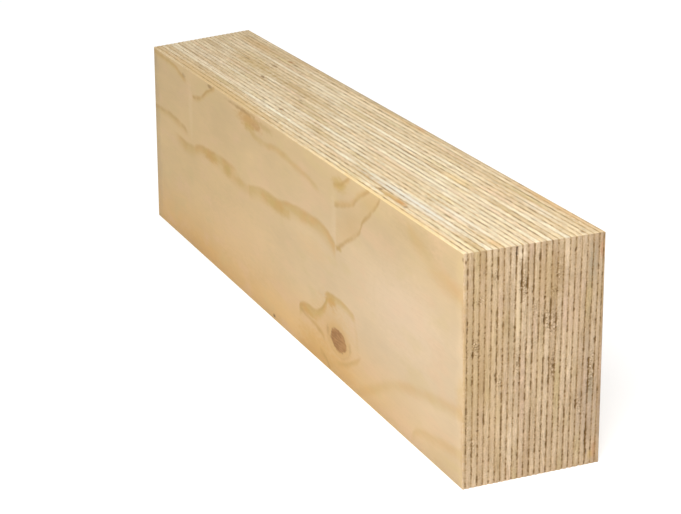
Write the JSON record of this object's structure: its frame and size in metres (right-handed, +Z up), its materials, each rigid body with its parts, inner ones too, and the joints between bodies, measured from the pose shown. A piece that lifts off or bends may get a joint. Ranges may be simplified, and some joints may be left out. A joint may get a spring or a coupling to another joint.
{
  "type": "laminated veneer lumber beam",
  "caption": "Straight rectangular timber beam pressed from parallel wood veneers, with fine glue-line grooves along its sawn edges and ends and a slanting cut at the far end.",
  "frame": {"origin": "centre of the bottom of the bounding box, on the floor that the beam stands on", "axes": "+X along the grain towards the end that is sawn square, +Y across the veneers, +Z up through the beam's depth"},
  "size_m": [0.4899, 0.075, 0.12],
  "materials": {
    "softwood_veneer": "smooth peeled faces, sawn edges and ends with dark glue lines"
  },
  "bodies": {
    "root": {"lvl_beam": "softwood_veneer"}
  },
  "joints": []
}
